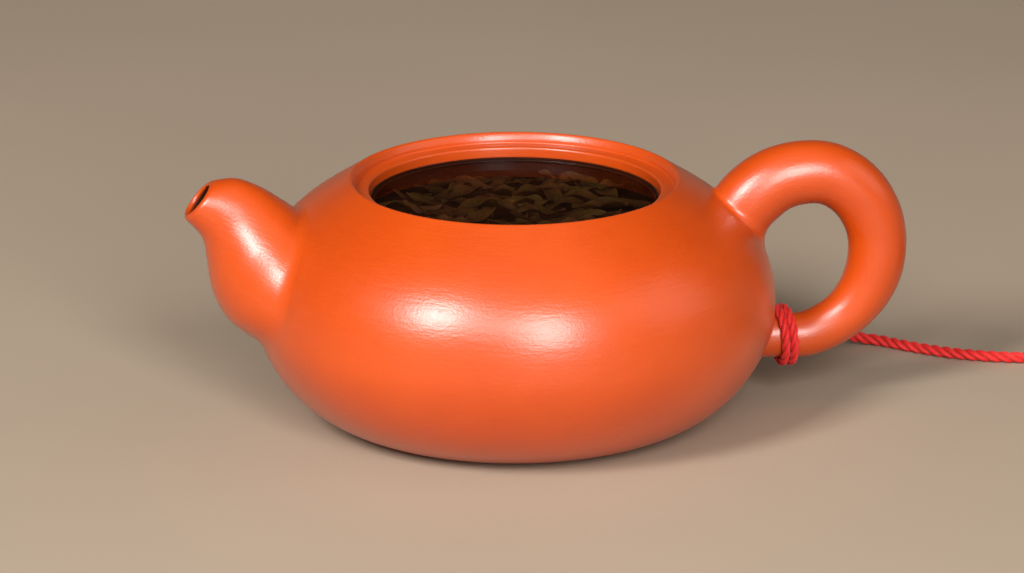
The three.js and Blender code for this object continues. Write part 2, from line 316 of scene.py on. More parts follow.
def cord_material():
    """Red cotton: fibres along each strand, and painted shade in the grooves where the strands meet."""
    sheen = {"Sheen_Weight": 0.35, "Sheen_Roughness": 0.4, "Sheen_Tint": (1, 0.35, 0.3, 1)}
    made, tree, shader = principled("red_cord", Roughness=0.62, Specular_IOR_Level=0.35, **sheen)
    grain = add(tree, "ShaderNodeAttribute", {"attribute_name": "grain"}).outputs["Vector"]
    depth = add(tree, "ShaderNodeAttribute", {"attribute_name": "depth"}).outputs["Fac"]
    fibres = noise(tree, grain, 1.0, 2, 0.6)
    # Painted shade: darker red in the grooves between the strands, brighter on their crowns.
    base = mixed(tree, spread(tree, depth, 0, 0.8), (0.34, 0.003, 0.004), (0.66, 0.011, 0.010))
    colour = mixed(tree, spread(tree, fibres, 0.4, 0.7, 0, 0.5), base, (0.80, 0.04, 0.03))
    tree.links.new(colour, shader.inputs["Base Color"])
    tree.links.new(bumped(tree, fibres, 0.00012), shader.inputs["Normal"])
    return made


def tea_material(name, **inputs):
    """Dark brewed tea under a mirror-smooth surface."""
    made, tree, shader = principled(name, Roughness=0.03, IOR=1.33, **inputs)
    place = add(tree, "ShaderNodeTexCoord").outputs["Object"]
    murk = spread(tree, noise(tree, place, 90, 3, 0.6), 0.4, 0.65)
    colour = mixed(tree, murk, (0.006, 0.0015, 0.0006), (0.022, 0.006, 0.002))
    tree.links.new(colour, shader.inputs["Base Color"])
    return made


def leaf_material():
    """Wet brewed leaves, olive to brown, veined, and darker the deeper they lie in the tea."""
    made, tree, shader = principled("tea_leaf", Roughness=0.5, Specular_IOR_Level=0.12)
    place = add(tree, "ShaderNodeTexCoord").outputs["Object"]
    grain = add(tree, "ShaderNodeAttribute", {"attribute_name": "grain"}).outputs["Vector"]
    tint = noise(tree, place, 110, 2, 0.5)
    veins = noise(tree, grain, 1.0, 3, 0.6)
    split = add(tree, "ShaderNodeSeparateXYZ")
    tree.links.new(place, split.inputs[0])
    sunk = spread(tree, split.outputs["Z"], TEA_HEIGHT - 0.0002, TEA_HEIGHT - 0.0026)
    base = mixed(tree, spread(tree, tint, 0.40, 0.60), (0.075, 0.034, 0.004), (0.10, 0.022, 0.004))
    veined = mixed(tree, spread(tree, veins, 0.40, 0.7, 0, 0.7), base, (0.15, 0.075, 0.014))
    colour = mixed(tree, sunk, veined, (0.010, 0.003, 0.001))
    tree.links.new(colour, shader.inputs["Base Color"])
    tree.links.new(bumped(tree, veins, 0.00015), shader.inputs["Normal"])
    return made


# The dark tea colour, for a tea stain inside the pot and for painted shade in the spout's bore.
TEA_STAIN_AND_SHADE = (0.030, 0.009, 0.004)
STROKE_DEPTH = 0.000035
HATCHING_DEPTH = 0.00002
GRIT_DEPTH = 0.000028
CLAY = clay_material(
    "burnished_clay",
    (0.53, 0.060, 0.001),
    (0.45, 0.046, 0.001),
    0.36,
    0.44,
    Coat_Weight=0.85,
    Coat_Roughness=0.3,
    Specular_IOR_Level=0.35,
)
RAW_CLAY = clay_material("raw_clay", (0.56, 0.075, 0.010), (0.46, 0.055, 0.007), 0.6, 0.75)
CORD = cord_material()
TEA = tea_material("tea_liquid", Alpha=0.5, Specular_IOR_Level=0.05)
TEA_EDGE = tea_material("tea_edge", Alpha=0.6)
DEEP_TEA = tea_material("deep_tea", Specular_IOR_Level=0)
LEAF = leaf_material()


# ---- the cord -------------------------------------------------------------------------------

STRANDS = 3
STRAND_RADIUS = 0.27 * CORD_DIAMETER
STRAND_OFFSET = 0.25 * CORD_DIAMETER
LAY = 3.2 * CORD_DIAMETER  # length of one full twist
SECTION_POINTS = 8 * STRANDS
FIBRE = 0.00016  # how thick the cotton's fibres look
FIBRE_LENGTH = 14 * FIBRE

KNOT_SIZE = 0.0017
KNOT_THICKNESS = 0.9  # of the cord where it is knotted, as a share of the tether's
KNOT_POINTS = 150
LEAD_POINTS = 24
BINDING_TURNS = 2
BINDING_THICKNESS = 0.78  # of the cord where it is pulled round the handle
BINDING_LEAN = 0.0006  # how far its turns slant along the handle
BOUND_RADIUS = 0.00402  # of the handle under the binding
LOOP_THICKNESS = 0.95


def frames_along(line, loop):
    """Tangents and two cross directions along a line, turning as little as they can."""
    if loop:
        tangents = unit(np.roll(line, -1, axis=0) - np.roll(line, 1, axis=0))
    else:
        tangents = unit(np.gradient(line, axis=0))
    start = np.cross(tangents[0], (0.3, 0.2, 1))
    sides = [unit(start)]
    for t in tangents[1:]:
        side = sides[-1] - t * np.dot(sides[-1], t)
        sides.append(unit(side))
    sides = np.array(sides)
    return tangents, sides, np.cross(tangents, sides)


def twisted(line, loop=False, thickness=1.0):
    """Rings, grain and depth of a cord of twisted strands laid along a line."""
    tangents, sides, ups = frames_along(line, loop)
    s = lengths_along(line)
    if loop:
        total = s[-1] + np.linalg.norm(line[0] - line[-1])
        closing = unit(sides[-1] - tangents[0] * np.dot(sides[-1], tangents[0]))
        slip = math.atan2(np.dot(closing, ups[0]), np.dot(closing, sides[0]))
        turns = round(total / LAY * STRANDS) / STRANDS
        twist = s / total * (turns * 2 * math.pi - slip)
    else:
        twist = s / LAY * 2 * math.pi
    angles = np.arange(SECTION_POINTS) / SECTION_POINTS * 2 * math.pi
    half = math.pi / STRANDS
    local = (angles + half) % (2 * half) - half
    bulge = np.sqrt(STRAND_RADIUS**2 - (STRAND_OFFSET * np.sin(local)) ** 2)
    radius = (STRAND_OFFSET * np.cos(local) + bulge) * thickness
    lowest = radius.min()
    # depth: 0 in the grooves between strands, 1 on their crowns; the cord's material paints shade by it.
    depth = np.tile((radius - lowest) / (radius.max() - lowest), (len(line), 1))
    at = angles[None, :] + twist[:, None]
    x = (radius * np.cos(at))[..., None] * sides[:, None, :]
    y = (radius * np.sin(at))[..., None] * ups[:, None, :]
    rings = line[:, None, :] + x + y
    grain = np.stack(
        [
            np.tile(radius * np.cos(angles) / FIBRE, (len(line), 1)),
            np.tile(radius * np.sin(angles) / FIBRE, (len(line), 1)),
            np.tile((s / FIBRE_LENGTH)[:, None], (1, SECTION_POINTS)),
        ],
        axis=-1,
    )
    return rings, grain.reshape(-1, 3), depth.ravel()


def cord_piece(name, lines, body, replaces):
    """One piece made of several cord lines, each (points, loop, thickness)."""
    vertices, faces, grain, depth = [], [], [], []
    for line, loop, thickness in lines:
        rings, its_grain, its_depth = twisted(line, loop, thickness)
        v, f = skin(rings, closed=loop, caps=not loop)
        faces += [tuple(i + len(vertices) for i in face) for face in f]
        vertices += v
        spare = len(v) - len(its_grain)
        grain += [*its_grain, *([its_grain[-1]] * spare)]
        depth += [*its_depth, *([0.5] * spare)]
    thing = new_object(name, vertices, faces, body, CORD, replaces, grain, sharp=80)
    attribute = thing.data.attributes.new("depth", "FLOAT", "POINT")
    attribute.data.foreach_set("value", np.array(depth, np.float32))
    return thing


def knot_line(centre, turn):
    """A trefoil knot, pulled tight round its centre."""
    t = np.linspace(0, 2 * math.pi, KNOT_POINTS, endpoint=False)
    x = np.sin(t) + 2 * np.sin(2 * t)
    y = np.cos(t) - 2 * np.cos(2 * t)
    z = -1.1 * np.sin(3 * t)
    c, s = math.cos(turn), math.sin(turn)
    points = np.stack([c * x - s * z, y, s * x + c * z], axis=1)
    return np.array(centre) + KNOT_SIZE / 3 * points


def middle(node):
    """The middle of a CAD node's box."""
    low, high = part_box(node)
    return np.array((low + high) / 2)


def lead(start, towards, end):
    """A short stretch of cord that leaves start towards a point and bends into end."""
    return evenly(cubic((start, towards, towards, end), np.linspace(0, 1, 40)), LEAD_POINTS)


def tied_knot(name, centre, turn, ends, next_point, body, node):
    """A knot, the cord's ends that run into it, and the stretch from it to the tether's next point."""
    onwards = lead(centre, (centre + next_point) / 2, np.array(next_point))
    lines = [(knot_line(centre, turn), True, KNOT_THICKNESS)]
    lines += [(end, False, KNOT_THICKNESS) for end in ends]
    lines.append((onwards, False, 1.0))
    return cord_piece(name, lines, body, [node])


def cords_on_handle():
    """The cord's turns round the handle's lower root, and the knot behind it."""
    arm = middle("handle_binding")
    knot = middle("handle_knot")
    reach = BOUND_RADIUS + BINDING_THICKNESS * CORD_DIAMETER / 2
    pitch = BINDING_THICKNESS * CORD_DIAMETER * 0.97
    turns = np.linspace(0, BINDING_TURNS, 161)
    bearing = turns * 2 * math.pi + math.pi / 2
    x = arm[0] + pitch * (turns - BINDING_TURNS / 2) - BINDING_LEAN * np.sin(bearing)
    y = arm[1] + reach * np.sin(bearing)
    z = arm[2] + reach * np.cos(bearing - math.pi)
    winding = np.stack([x, y, z], axis=1)
    lines = [(evenly(winding, 300), False, BINDING_THICKNESS)]
    binding = cord_piece("handle_binding_cord", lines, "pot", ["handle_binding"])
    ends = [lead(tip, tip * (1, 0.5, 1) + knot * (0, 0.5, 0), knot) for tip in winding[[0, -1]]]
    tied = tied_knot("handle_knot_cord", knot, 0.5, ends, TETHER_ROUTE[0], "pot", "handle_knot")
    return [binding, tied]


def cords_on_knob():
    """The cord's loop round the knob's neck, and the knot that closes it."""
    centre = middle("knob_loop")
    knot = middle("knob_knot")
    low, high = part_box("knob_loop")
    radius = (high.x - low.x) / 2 - CORD_DIAMETER / 2

    def round_neck(bearing):
        return np.stack([np.cos(bearing), np.sin(bearing), 0 * bearing], axis=-1) * radius

    ring = round_neck(np.linspace(0, 2 * math.pi, 120, endpoint=False)) + centre
    loop = cord_piece("knob_loop_cord", [(ring, True, LOOP_THICKNESS)], "lid", ["knob_loop"])
    bearing = math.atan2(knot[1] - centre[1], knot[0] - centre[0])
    ends = []
    for side in (-1, 1):
        start = centre + round_neck(bearing + side * 0.9)
        towards = centre + 1.2 * round_neck(bearing + side * 0.35)
        ends.append(lead(start, towards, knot))
    tied = tied_knot("knob_knot_cord", knot, 1.2, ends, TETHER_ROUTE[-1], "lid", "knob_knot")
    return [loop, tied]


def tether(with_pieces):
    """The cord between the two knots.

    Nothing here makes it stretch or follow when the lid rises, and at full lift it cuts into the lid's edge.
    """
    route = through(TETHER_ROUTE, 460)
    cord = cord_piece("tether_cord", [(route, False, 1.0)], None, ["tether_on_table", "tether_on_lid"])
    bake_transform(cord)


tether([*cords_on_handle(), *cords_on_knob()])


# ---- the pot's outline ----------------------------------------------------------------------

AROUND = 288  # points round the pot and the lid
STROKE_LENGTH = 0.0042  # of the burnishing strokes, and their width
STROKE_WIDTH = 0.0008
CORNER_POINTS = 6  # of each rounded corner
LIFT = 0.000004  # how far a blended root stands above the pot's skin, so that it shows
SUNK = 0.0005  # how deep its edge then turns into the wall
FILLET_STEPS = 16


def offset(points, distance):
    """A line of (radius, height) points moved out from itself."""
    tangent = unit(np.gradient(points, axis=0))
    return points + distance * np.stack([tangent[:, 1], -tangent[:, 0]], axis=1)


def lower(first, last, count):
    return cubic(LOWER_CURVE, np.linspace(first, last, count))


def upper(first, last, count):
    return cubic(UPPER_CURVE, np.linspace(first, last, count))


OUTLINE = np.vstack([lower(0, 1, 260), upper(0, 1, 260)[1:]])
OUTLINE_TANGENT = unit(np.gradient(OUTLINE, axis=0))
OUTLINE_NORMAL = np.stack([OUTLINE_TANGENT[:, 1], -OUTLINE_TANGENT[:, 0]], axis=1)


def on_pot(points):
    """How far points lie outside the pot's skin, the nearest points on it, and its normals there."""
    radius = np.hypot(points[:, 0], points[:, 1])
    flat = np.stack([radius, points[:, 2]], axis=1)
    gap = flat[:, None, :] - OUTLINE[None, :, :]
    nearest = np.argmin((gap**2).sum(axis=2), axis=1)
    rows = np.arange(len(points))
    normal = OUTLINE_NORMAL[nearest]
    height = (gap[rows, nearest] * normal).sum(axis=1)
    foot = flat - normal * height[:, None]
    out = points[:, :2] / np.maximum(radius, 1e-9)[:, None]
    skin_points = np.concatenate([out * foot[:, :1], foot[:, 1:]], axis=1)
    skin_normals = np.concatenate([out * normal[:, :1], normal[:, 1:]], axis=1)
    return height, skin_points, skin_normals


def turned(profile, steps=AROUND, centre=(0, 0, 0)):
    """Rings round +Z through (radius, height) points, and their grain, which runs round them."""
    profile = np.asarray(profile, float)
    angles = np.arange(steps) / steps * 2 * math.pi
    x = profile[:, :1] * np.cos(angles)
    y = profile[:, :1] * np.sin(angles)
    z = np.repeat(profile[:, 1:], steps, axis=1)
    s = np.repeat(lengths_along(profile)[:, None], steps, axis=1)
    grain = np.stack([x / STROKE_LENGTH, y / STROKE_LENGTH, s / STROKE_WIDTH], axis=-1)
    return np.stack([x, y, z], axis=-1) + np.array(centre), grain.reshape(-1, 3)


def turned_piece(name, profile, body, replaces, centre=(0, 0, 0), steps=AROUND, stain_and_shade=None):
    """A ring of clay: its profile runs up its outside and down its inside, and closes."""
    rings, grain = turned(profile, steps, centre)
    vertices, faces = skin(rings, closed=True)
    if stain_and_shade is not None:
        stain_and_shade = np.repeat(stain_and_shade, steps)
    return new_object(name, vertices, faces, body, CLAY, replaces, grain, stain_and_shade)


def rounded(corners, radii):
    """A profile through corners, each rounded by an arc-like curve of its own radius."""
    corners = np.array(corners, float)
    points = []
    for before, corner, after, radius in zip(np.roll(corners, 1, 0), corners, np.roll(corners, -1, 0), radii):
        if radius == 0:
            points.append(corner)
            continue
        start = corner + unit(before - corner) * radius
        end = corner + unit(after - corner) * radius
        t = np.linspace(0, 1, CORNER_POINTS)[:, None]
        points += list((1 - t) ** 2 * start + 2 * t * (1 - t) * corner + t * t * end)
    return points


def finer(profile, step):
    """A profile with its long straight stretches split."""
    profile = np.asarray(profile, float)
    points = []
    for a, b in zip(profile, np.roll(profile, -1, 0)):
        count = max(1, int(np.linalg.norm(b - a) / step))
        points += [a + (b - a) * k / count for k in range(count)]
    return points


# ---- the pot --------------------------------------------------------------------------------

def cut_spout_hole(thing):
    """Cuts the opening behind the spout, a cylinder along X, out of the wall."""
    hole = bpy.data.meshes.new("hole")
    angles = np.arange(48) / 48 * 2 * math.pi
    y = SPOUT_HOLE_RADIUS * np.cos(angles)
    z = SPOUT_HOLE_HEIGHT + SPOUT_HOLE_RADIUS * np.sin(angles)
    ends = [np.stack([0 * y + x, y, z], axis=1) for x in SPOUT_HOLE_SPAN]
    vertices, faces = skin(np.array(ends), caps=True)
    hole.from_pydata([tuple(v) for v in vertices], [], faces)
    cutter = bpy.data.objects.new("hole", hole)
    bpy.context.collection.objects.link(cutter)
    cut = thing.modifiers.new("hole", "BOOLEAN")
    cut.object = cutter
    cut.solver = "EXACT"
    graph = bpy.context.evaluated_depsgraph_get()
    thing.data = bpy.data.meshes.new_from_object(thing.evaluated_get(graph))
    thing.modifiers.clear()
    bpy.data.objects.remove(cutter)


def pot_body():
    """The wall from the foot to the mouth's seam, outside and inside."""
    outside = np.vstack([lower(0, 1, 60), upper(0, MOUTH_SEAM, 60)[1:]])
    inside = np.vstack([lower(0.1, 1, 30), upper(0, MOUTH_SEAM, 30)[1:]])
    inside = offset(inside, -WALL)[::-1]
    foot = [(BASE_RADIUS + 0.0001, WALL), (BASE_RADIUS + 0.0001, 0), (BASE_RADIUS + 0.0012, 0)]
    profile = [*outside, *inside, *foot]
    stain_and_shade = [0] * len(outside) + [1] * len(inside) + [0] * len(foot)
    thing = turned_piece("pot_body", profile, None, ["body_shell"], stain_and_shade=stain_and_shade)
    cut_spout_hole(thing)
    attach(thing, "pot")


def pot_base():
    """The flat base, very slightly hollow underneath."""
    edge = BASE_RADIUS
    profile = [(0.0005, 0.0004), *((edge * k / 12, 0.0004) for k in range(1, 11)), (edge - 0.0022, 0.0003)]
    profile += [(edge - 0.0016, 0.00008), (edge - 0.001, 0), (edge - 0.0002, 0), (edge, 0.0002)]
    profile += [(edge, BASE_THICKNESS - 0.0003), (edge - 0.0003, BASE_THICKNESS), (0.0005, BASE_THICKNESS)]
    rings, grain = turned(profile)
    vertices, faces = skin(rings, caps=True)
    grain = [*grain, grain[0], grain[-1]]
    stain_and_shade = [float(v[2] > BASE_THICKNESS - 0.0005) for v in vertices]
    new_object("pot_base", vertices, faces, "pot", CLAY, ["base_disc"], grain, stain_and_shade)


def pot_mouth():
    """The rolled lip, the recess for the lid, its ledge, and the throat below."""
    outside = upper(MOUTH_SEAM, 0.985, 16)
    lip_top = UPPER_CURVE[-1][1]
    shoulder = outside[-1]
    over = shoulder + 0.0005 * unit(outside[-1] - outside[-2])
    roll = cubic(
        (shoulder, over, (SEAT_RADIUS + 0.00055, lip_top + 0.0001), (SEAT_RADIUS, lip_top - 0.0014)),
        np.linspace(0, 1, 14),
    )[1:]
    recess = rounded(
        [
            (SEAT_RADIUS, SEAT_HEIGHT + 0.0004),
            (SEAT_RADIUS, SEAT_HEIGHT),
            (MOUTH_RADIUS, SEAT_HEIGHT + 0.00005),
            (MOUTH_RADIUS, TEA_HEIGHT + 0.0007),
            (MOUTH_RADIUS, TEA_HEIGHT + 0.0001),
            (MOUTH_RADIUS, MOUTH_RING_BOTTOM),
            (outside[0][0] - 0.0016, MOUTH_RING_BOTTOM),
        ],
        [0, 0.0003, 0.00055, 0, 0, 0, 0],
    )
    seam_inside = (outside[0][0] - 0.0006, outside[0][1] - 0.0006)
    profile = [*outside, *roll, *recess, seam_inside]
    wet = len(outside) + len(roll)
    stain_and_shade = [float(k > wet and point[1] < TEA_HEIGHT + 0.0005) for k, point in enumerate(profile)]
    turned_piece("pot_mouth", profile, "pot", ["mouth_ring"], stain_and_shade=stain_and_shade)


# ---- spout and handle, blended into the pot -------------------------------------------------

def spline(points, t):
    """A smooth curve through evenly numbered points, at each t from 0 to 1 (Catmull-Rom)."""
    p = np.array(points, float)
    p = p[:, None] if p.ndim == 1 else p
    last = len(p) - 2
    p = np.vstack([2 * p[0] - p[1], p, 2 * p[-1] - p[-2]])
    gaps = np.sqrt(np.linalg.norm(np.diff(p, axis=0), axis=1)) if p.shape[1] > 1 else np.ones(len(p) - 1)
    t = np.clip(np.asarray(t, float), 0, 1) * (last + 1)
    i = np.minimum(t.astype(int), last)
    k1, k2, k3 = gaps[i], gaps[i] + gaps[i + 1], gaps[i] + gaps[i + 1] + gaps[i + 2]
    k1, k2, k3 = (k[..., None] for k in (k1, k2, k3))
    x = k1 + (t - i)[..., None] * (k2 - k1)
    a1 = ((k1 - x) * p[i] + x * p[i + 1]) / k1
    a2 = ((k2 - x) * p[i + 1] + (x - k1) * p[i + 2]) / (k2 - k1)
    a3 = ((k3 - x) * p[i + 2] + (x - k2) * p[i + 3]) / (k3 - k2)
    b1 = ((k2 - x) * a1 + x * a2) / k2
    b2 = ((k3 - x) * a2 + (x - k1) * a3) / (k3 - k1)
    return ((k2 - x) * b1 + (x - k1) * b2) / (k2 - k1)


def in_plane(points):
    """(x, z) points in the pot's plane of symmetry."""
    return [(x, 0, z) for x, z in points]


# The spout's outlines seen from the side, from its root to its tip, and its half width, which is
# up to 2.7 mm more than the CAD's, most of all a third of the way along.
SPOUT_UNDERSIDE = in_plane(
    [
        (-0.0415, 0.0129),
        (-0.0466, 0.0160),
        (-0.0510, 0.0195),
        (-0.0535, 0.0246),
        (-0.0543, 0.0300),
        (-0.0551, 0.0340),
        (-0.0583, 0.0378),
    ]
)
SPOUT_TOP = in_plane(
    [
        (-0.0338, 0.0348),
        (-0.0365, 0.0367),
        (-0.0389, 0.0385),
        (-0.0414, 0.0404),
        (-0.0449, 0.0427),
        (-0.0490, 0.0443),
        (-0.0532, 0.0440),
    ]
)
SPOUT_HALF_WIDTH = [0.0195, 0.0168, 0.0138, 0.0103, 0.0073, 0.0054, 0.0039]
SPOUT_WALL = [0.0026, 0.0024, 0.0022, 0.0020, 0.0017, 0.0014, 0.0012]

# The handle's centreline, from its upper root to its lower one, and its radius along it.
HANDLE_PATH = in_plane(
    [
        (0.0368, 0.0306),
        (0.0420, 0.0377),
        (0.0476, 0.0413),
        (0.0553, 0.0417),
        (0.0610, 0.0381),
        (0.0645, 0.0311),
        (0.0640, 0.0229),
        (0.0597, 0.0161),
        (0.0526, 0.0122),
        (0.0460, 0.0121),
        (0.0400, 0.0122),
    ]
)
HANDLE_RADIUS = [
    0.0057, 0.0059, 0.0057, 0.00555, 0.00545, 0.00525,
    0.0050, 0.00435, 0.00405, 0.00395, 0.00395,
]


def spout_surface(t, angle, inset=0.0):
    """Points of the spout's outside, or of its bore at an inset, at each t and angle (0 at the top)."""
    low = spline(SPOUT_UNDERSIDE, t)
    high = spline(SPOUT_TOP, t)
    centre = (low + high) / 2
    across = high - centre
    reach = np.linalg.norm(across, axis=-1, keepdims=True)
    across = across * (1 - inset / reach)
    width = spline(SPOUT_HALF_WIDTH, t) - inset
    side = np.concatenate([0 * width, -width, 0 * width], axis=-1)
    return centre + across * np.cos(angle)[..., None] + side * np.sin(angle)[..., None]


def bore_surface(t, angle):
    """Points of the spout's bore."""
    return spout_surface(t, angle, spline(SPOUT_WALL, t))


def handle_surface(t, angle):
    """Points of the handle at each t and angle (0 towards its outside)."""
    step = 1e-4
    along = unit(spline(HANDLE_PATH, t + step) - spline(HANDLE_PATH, t - step))
    outward = np.stack([-along[..., 2], 0 * along[..., 0], along[..., 0]], axis=-1)
    radius = spline(HANDLE_RADIUS, t)
    side = np.array([0.0, -1.0, 0.0])
    ring = outward * np.cos(angle)[..., None] + side * np.sin(angle)[..., None]
    return spline(HANDLE_PATH, t) + radius * ring


def where_it_leaves(surface, angles, inside, outside, height=0.0):
    """The t at which each line of a surface comes out of the pot's skin, between two t."""
    low = np.full(len(angles), float(inside))
    high = np.full(len(angles), float(outside))
    for _ in range(30):
        middle_t = (low + high) / 2
        buried = on_pot(surface(middle_t, angles))[0] < height
        low = np.where(buried, middle_t, low)
        high = np.where(buried, high, middle_t)
    return (low + high) / 2


def blended_root(surface, angles, leaves, towards, up, out, crease=0.0):
    """Rings of a fillet between the pot and a surface that grows out of it.

    leaves is where each line comes out, towards the sign of t going outwards, and up and out are
    the fillet's reach along the surface and over the pot. With a crease it meets the pot at an
    angle. Returns the rings, from the pot outwards, and the t that they end at.
    """
    reach = np.linspace(0, 0.45, 400)
    tops = []
    for k, angle in enumerate(angles):
        line = surface(leaves[k] + towards * reach, np.full(len(reach), angle))
        tops.append(leaves[k] + towards * np.interp(up[k], lengths_along(line), reach))
    tops = np.array(tops)
    step = 1e-4 * towards
    start = surface(tops, angles)
    down = unit(surface(tops - step, angles) - surface(tops + step, angles))
    corner = surface(leaves, angles)
    turn = 1e-3
    around = surface(leaves, angles + turn) - surface(leaves, angles - turn)
    along = surface(leaves + step, angles) - surface(leaves - step, angles)
    outward = unit(np.cross(around, along))
    centre = corner.mean(axis=0)
    outward *= np.sign((outward * (corner - centre)).sum(axis=1, keepdims=True))
    normal = on_pot(corner)[2]
    away = unit(outward - normal * (outward * normal).sum(axis=1, keepdims=True))
    _, end, end_normal = on_pot(corner + away * out[:, None])
    away = unit(away - end_normal * (away * end_normal).sum(axis=1, keepdims=True))
    corner_reach = np.linalg.norm(start - corner, axis=1, keepdims=True)
    end_reach = np.linalg.norm(end - corner, axis=1, keepdims=True)
    end = end + end_normal * LIFT
    first = start + down * corner_reach * 0.66
    second = end + (1 - crease) * -away * end_reach * 0.66 + crease * (start - end) * 0.3
    t = np.linspace(0, 1, FILLET_STEPS)
    rings = [cubic(corners, t) for corners in zip(end, second, first, start)]
    sunk = end - end_normal * SUNK
    return np.vstack([sunk[None], np.array(rings).transpose(1, 0, 2)]), tops


def spout():
    """The spout: a blended root, the outside, a thin rolled lip, and the bore."""
    angles = np.arange(96) / 96 * 2 * math.pi
    leaves = where_it_leaves(spout_surface, angles, 0.0, 0.6)
    side = np.sin(angles) ** 2
    up = 0.0014 + 0.0008 * side
    root, tops = blended_root(spout_surface, angles, leaves, 1, up, 0.0012 + 0.0002 * side, crease=0.3)
    lip_start = 0.97
    rise = np.linspace(0, 1, 70)[1:]
    outside = [spout_surface(tops + (lip_start - tops) * k, angles) for k in rise]
    lip = []
    for turn in np.linspace(0, math.pi, 13)[1:]:
        inset = SPOUT_WALL[-1] / 2 * (1 - math.cos(turn))
        t = lip_start + (1 - lip_start) * math.sin(turn)
        lip.append(spout_surface(np.full(len(angles), t), angles, inset))
    bore_leaves = where_it_leaves(bore_surface, angles, 0.0, 0.7, -0.0003)
    inwards = np.linspace(0, 1, 60)[1:]
    bore = [bore_surface(lip_start + (bore_leaves - lip_start) * k, angles) for k in inwards]
    rings = np.concatenate([root, np.array(outside), np.array(lip), np.array(bore)])
    vertices, faces = skin(rings, closed=True)
    # The bore is darkened all along: painted shade in its depth, together with a tea stain.
    stain_and_shade = [0] * (len(rings) - len(bore) - 1) + [0.6] + [1] * len(bore)
    points = np.array(vertices)
    across = points[:, 2] + 0.35 * points[:, 0]
    grain = np.column_stack([points[:, :2] / STROKE_LENGTH, across / STROKE_WIDTH])
    stain_and_shade = np.repeat(stain_and_shade, len(angles))
    new_object("spout_clay", vertices, faces[::-1], "pot", CLAY, ["spout"], grain, stain_and_shade, 50)


def handle():
    """The ear-shaped handle, blended into the pot at both ends."""
    angles = np.arange(72) / 72 * 2 * math.pi
    upper_leaves = where_it_leaves(handle_surface, angles, 0.0, 0.35)
    lower_leaves = where_it_leaves(handle_surface, angles, 1.0, 0.7)
    ones = np.ones(len(angles))
    under = ((1 - np.cos(angles)) / 2) ** 3  # 1 on the handle's inner side
    up, out = 0.0012 + 0.0028 * under, 0.0010 + 0.0018 * under
    first, first_t = blended_root(handle_surface, angles, upper_leaves, 1, up, out)
    last, last_t = blended_root(handle_surface, angles, lower_leaves, -1, 0.0012 * ones, 0.0012 * ones)
    between = [handle_surface(first_t + (last_t - first_t) * k, angles) for k in np.linspace(0, 1, 200)[1:-1]]
    rings = np.concatenate([first, np.array(between), last[::-1]])
    vertices, faces = skin(rings, caps=True)
    s = lengths_along(rings.mean(axis=1))
    n = len(angles)
    fast = HANDLE_RADIUS[5] / STROKE_WIDTH
    grain = np.stack(
        [
            np.repeat(s / STROKE_LENGTH, n),
            np.tile(fast * np.cos(angles), len(rings)),
            np.tile(fast * np.sin(angles), len(rings)),
        ],
        axis=1,
    )
    grain = [*grain, grain[0], grain[-1]]
    new_object("handle_clay", vertices, faces, "pot", CLAY, ["handle"], grain, sharp=50)


# ---- the lid --------------------------------------------------------------------------------

def lid():
    """The flange, the domed plate and the knob, where the CAD has them."""
    place = middle("lid_plate")
    base = (place[0], place[1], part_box("lid_flange")[0].z)
    plate_base = (place[0], place[1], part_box("lid_plate")[0].z)
    knob_base = (place[0], place[1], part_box("lid_knob")[0].z)
    edge, inner = FLANGE_RADIUS, FLANGE_RADIUS - FLANGE_WALL
    flange = rounded(
        [(edge, 0), (edge, FLANGE_HEIGHT + 0.0004), (inner, FLANGE_HEIGHT + 0.0004), (inner + 0.0004, 0)],
        [0.0005, 0, 0, 0.0006],
    )
    turned_piece("lid_flange_clay", finer(flange, 0.001), "lid", ["lid_flange"], base)

    crown_start = (LID_RADIUS - 0.0006, LID_EDGE)
    shoulder = (LID_RADIUS * 0.7, LID_EDGE + 0.0022)
    top = ((LID_RADIUS / 2, LID_CROWN), (VENT_RADIUS, LID_CROWN))
    crown = cubic((crown_start, shoulder, *top), np.linspace(0, 1, 48))
    rim = rounded(
        [(VENT_RADIUS, 0), (LID_RADIUS, 0), (LID_RADIUS, LID_EDGE), crown_start],
        [0, 0.0005, 0.0006, 0],
    )
    plate = finer([*rim[:-1], *crown], 0.0012)
    turned_piece("lid_plate_clay", plate, "lid", ["lid_plate"], plate_base)

    ball = through(
        [
            (KNOB_NECK_RADIUS + 0.0014, -0.0003),
            (KNOB_NECK_RADIUS + 0.0003, 0.0006),
            (KNOB_NECK_RADIUS, 0.0018),
            (KNOB_NECK_RADIUS + 0.0004, 0.0032),
            (KNOB_RADIUS - 0.0014, 0.0046),
            (KNOB_RADIUS, 0.0070),
            (KNOB_RADIUS - 0.0016, 0.0096),
            (KNOB_RADIUS - 0.0046, KNOB_HEIGHT - 0.0001),
            (VENT_RADIUS + 0.0004, KNOB_HEIGHT),
        ],
        60,
    )
    vent = [(VENT_RADIUS, KNOB_HEIGHT - 0.0004), (VENT_RADIUS, 0.005), (VENT_RADIUS, -0.0003)]
    turned_piece("lid_knob_clay", [*ball, *vent], "lid", ["lid_knob"], knob_base, 120)


# ---- tea ------------------------------------------------------------------------------------

TEA_STEPS = 160  # points round each piece of the tea
MENISCUS_WIDTH = 0.0009
MENISCUS_HEIGHT = 0.0005
MENISCUS_FALL = 0.0003  # the distance in which it falls to a third
DEEP_TEA_TOP = 0.0006  # below the surface
DEEP_TEA_BOTTOM = 0.0034
LEAF_COUNT = 90
LEAF_SPREAD = 0.0215  # the radius that their middles lie within
LEAF_TURN = 2.4  # from one leaf to the next, near the golden angle, so that they spread evenly
LEAF_THICKNESS = 0.00022
LEAF_COVER = 0.0003  # the least depth of tea over a leaf


def tea_piece(name, profile, material, sharp=35):
    """A surface of tea, turned round the pot's axis."""
    rings, _ = turned(profile, TEA_STEPS)
    vertices, faces = skin(rings)
    new_object(name, vertices, faces, "pot", material, sharp=sharp)


